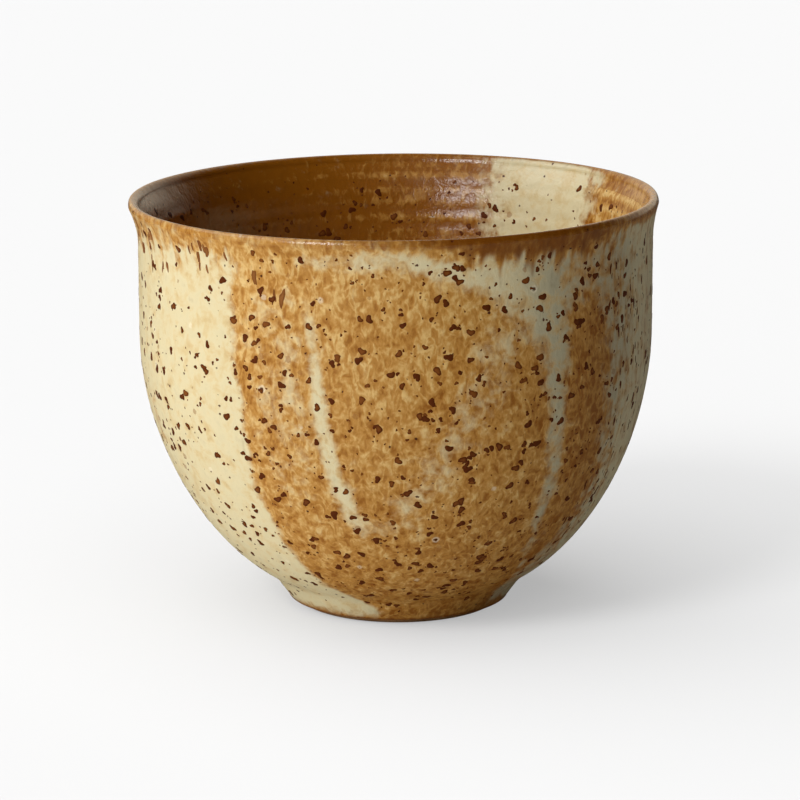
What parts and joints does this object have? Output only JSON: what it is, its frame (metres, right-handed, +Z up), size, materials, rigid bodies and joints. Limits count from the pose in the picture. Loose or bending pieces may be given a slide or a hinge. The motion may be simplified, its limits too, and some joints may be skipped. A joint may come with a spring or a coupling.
{
  "type": "cappuccino cup",
  "caption": "Handleless hand-thrown stoneware cappuccino cup with a deep round bowl, slightly flared lip, low turned foot and cream and amber poured glazes.",
  "frame": {"origin": "middle of the ring that the cup stands on", "axes": "+Z up along the axis the cup was thrown on, front of the cup towards -Y"},
  "size_m": [0.096, 0.096, 0.0758],
  "materials": {
    "stoneware": "bare fired stoneware, matt and slightly gritty",
    "cream_glaze": "satin cream glaze with iron specks",
    "amber_glaze": "satin amber glaze, mottled, with iron specks",
    "lip_glaze": "thin brown glaze broken over the edge"
  },
  "bodies": {
    "root": {"stoneware_bowl": "stoneware", "foot_ring": "stoneware", "cream_glaze_coat": "cream_glaze", "amber_pour_front": "amber_glaze", "amber_pour_right": "amber_glaze", "amber_pour_back": "amber_glaze", "amber_pour_rear_left": "amber_glaze", "lip_glaze": "lip_glaze", "amber_glaze_liner": "amber_glaze", "cream_pour_inside": "cream_glaze"}
  },
  "joints": []
}
